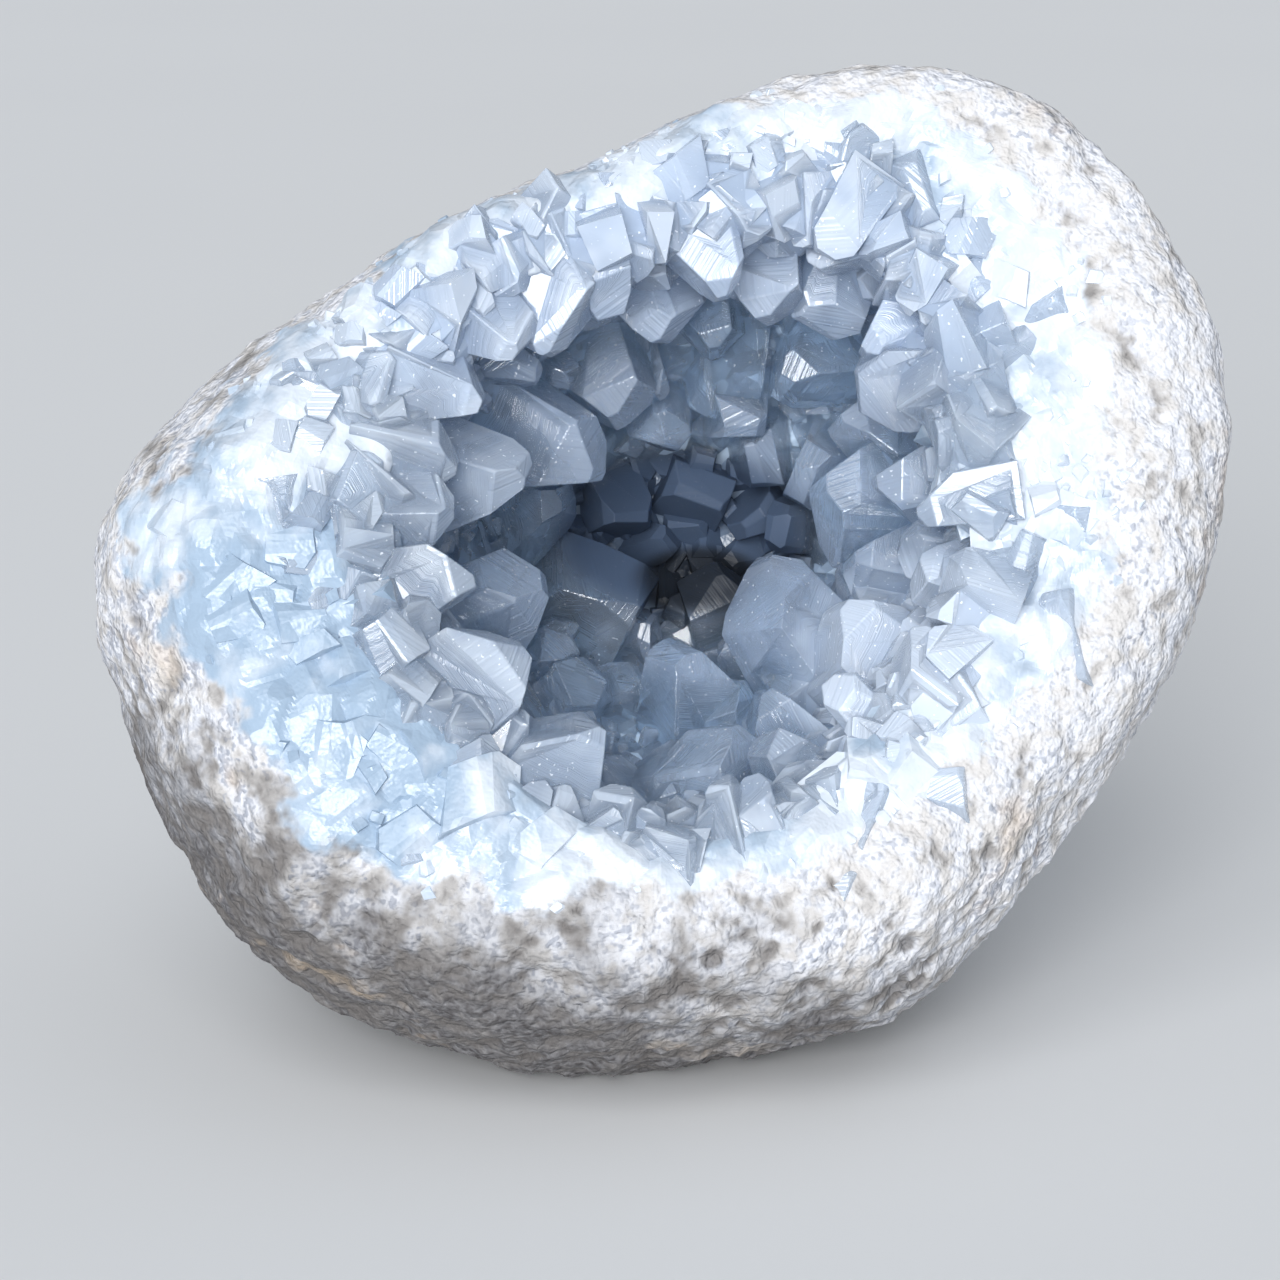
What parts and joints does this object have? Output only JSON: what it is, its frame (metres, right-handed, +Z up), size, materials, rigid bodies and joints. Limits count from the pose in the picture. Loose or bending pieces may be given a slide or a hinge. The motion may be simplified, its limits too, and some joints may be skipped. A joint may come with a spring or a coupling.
{
  "type": "celestite geode",
  "caption": "Egg-shaped chalky nodule, opened on one side, its hollow lined with a crust of blocky pale blue crystals, resting on a small flat spot.",
  "frame": {"origin": "middle of the bounding box at its bottom, in the plane of the flat spot that the geode rests on", "axes": "+Z up, +X along the nodule's length, -Y towards the open face, which leans back by 15 degrees"},
  "size_m": [0.1752, 0.124, 0.1488],
  "materials": {
    "chalky_matrix": "dull, rough and chalky, white with warm grey and ochre stains",
    "celestite": "frosted and see-through, pale grey-blue, with a white sugary layer at the rim"
  },
  "bodies": {
    "root": {"matrix_rind": "chalky_matrix", "crystal_crust": "celestite"}
  },
  "joints": []
}
